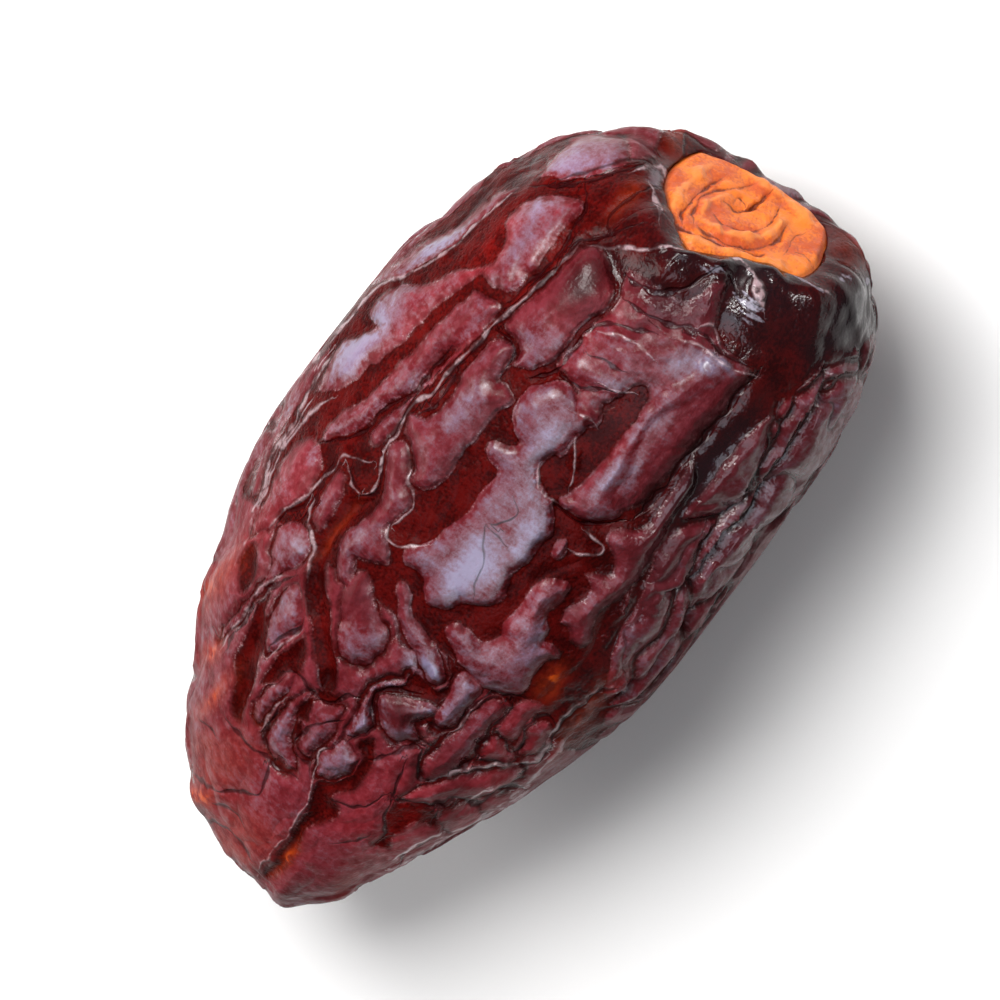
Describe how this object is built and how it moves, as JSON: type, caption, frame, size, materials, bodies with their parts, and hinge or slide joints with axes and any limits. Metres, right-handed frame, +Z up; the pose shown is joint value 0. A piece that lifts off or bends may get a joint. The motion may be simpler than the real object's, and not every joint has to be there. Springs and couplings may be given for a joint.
{
  "type": "medjool date",
  "caption": "Whole dried medjool date lying on its side, with deep wrinkled skin, a pointed tip and a dry cap at the stem end.",
  "frame": {"origin": "on the surface the date lies on, under the middle of its bounding box", "axes": "+X along the date to its stem end and cap, +Y across it, +Z up from the surface"},
  "size_m": [0.055, 0.0282, 0.0255],
  "materials": {
    "date_skin": "wrinkled waxy skin, dark red brown, satin to glossy",
    "dry_cap": "dry and woody, orange, matte"
  },
  "bodies": {
    "root": {"date_fruit": "date_skin", "calyx_cap": "dry_cap"}
  },
  "joints": []
}
